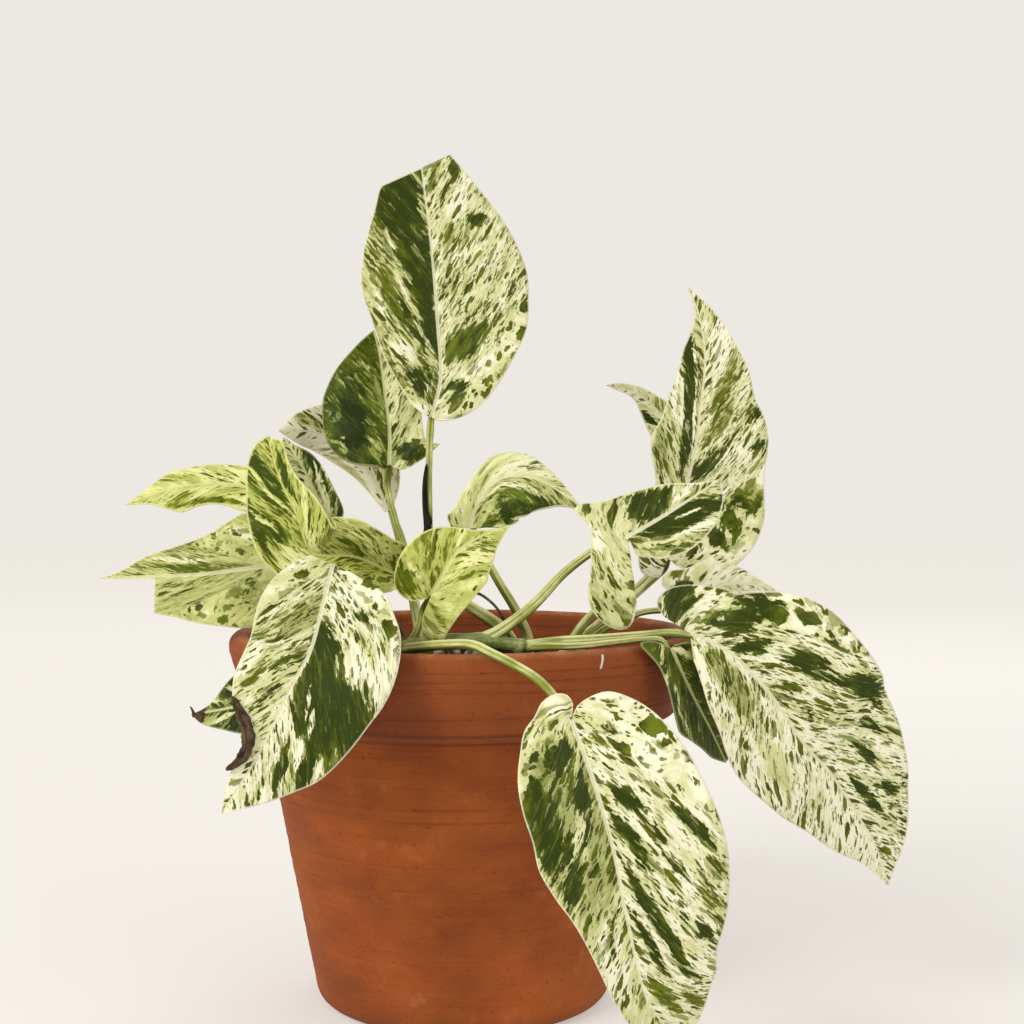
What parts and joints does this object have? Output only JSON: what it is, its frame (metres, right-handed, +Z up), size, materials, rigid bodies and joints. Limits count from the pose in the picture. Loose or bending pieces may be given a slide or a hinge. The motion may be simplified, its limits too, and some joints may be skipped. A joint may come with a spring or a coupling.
{
  "type": "potted snow queen pothos",
  "caption": "Snow queen pothos with cream and green heart-shaped leaves on short arching stems, growing in a plain terracotta pot filled with soil.",
  "frame": {"origin": "on the standing surface, under the middle of the whole plant's bounding box; the pot's own axis stands at X = -11 mm, Y = 16 mm", "axes": "+Z up along the pot's axis, +X to the right and -Y to the front, as the picture sees it"},
  "size_m": [0.262, 0.1912, 0.2801],
  "materials": {
    "terracotta": "matte",
    "potting_soil": "matte",
    "stem": "satin",
    "leaf_cream": "satin",
    "leaf_fresh_green": "satin",
    "leaf_deep_green": "satin"
  },
  "bodies": {
    "root": {"pot": "terracotta", "soil": "potting_soil", "vine_front": "stem", "vine_middle": "stem", "vine_right": "stem", "vine_back": "stem", "vine_left": "stem", "leaf_top": "leaf_cream", "leaf_dark_upper": "leaf_deep_green", "leaf_pale_upper": "leaf_cream", "leaf_twisted": "leaf_fresh_green", "leaf_streaked": "leaf_deep_green", "leaf_left_upper": "leaf_fresh_green", "leaf_left_lower": "leaf_fresh_green", "leaf_front_left": "leaf_cream", "leaf_under_rim": "leaf_cream", "leaf_centre": "leaf_fresh_green", "leaf_arching": "leaf_fresh_green", "leaf_pointing_right": "leaf_cream", "leaf_tall_right": "leaf_cream", "leaf_behind_right": "leaf_cream", "leaf_under_tall": "leaf_cream", "leaf_big_right": "leaf_cream", "leaf_dark_right": "leaf_deep_green", "leaf_front_hanging": "leaf_cream"}
  },
  "joints": []
}
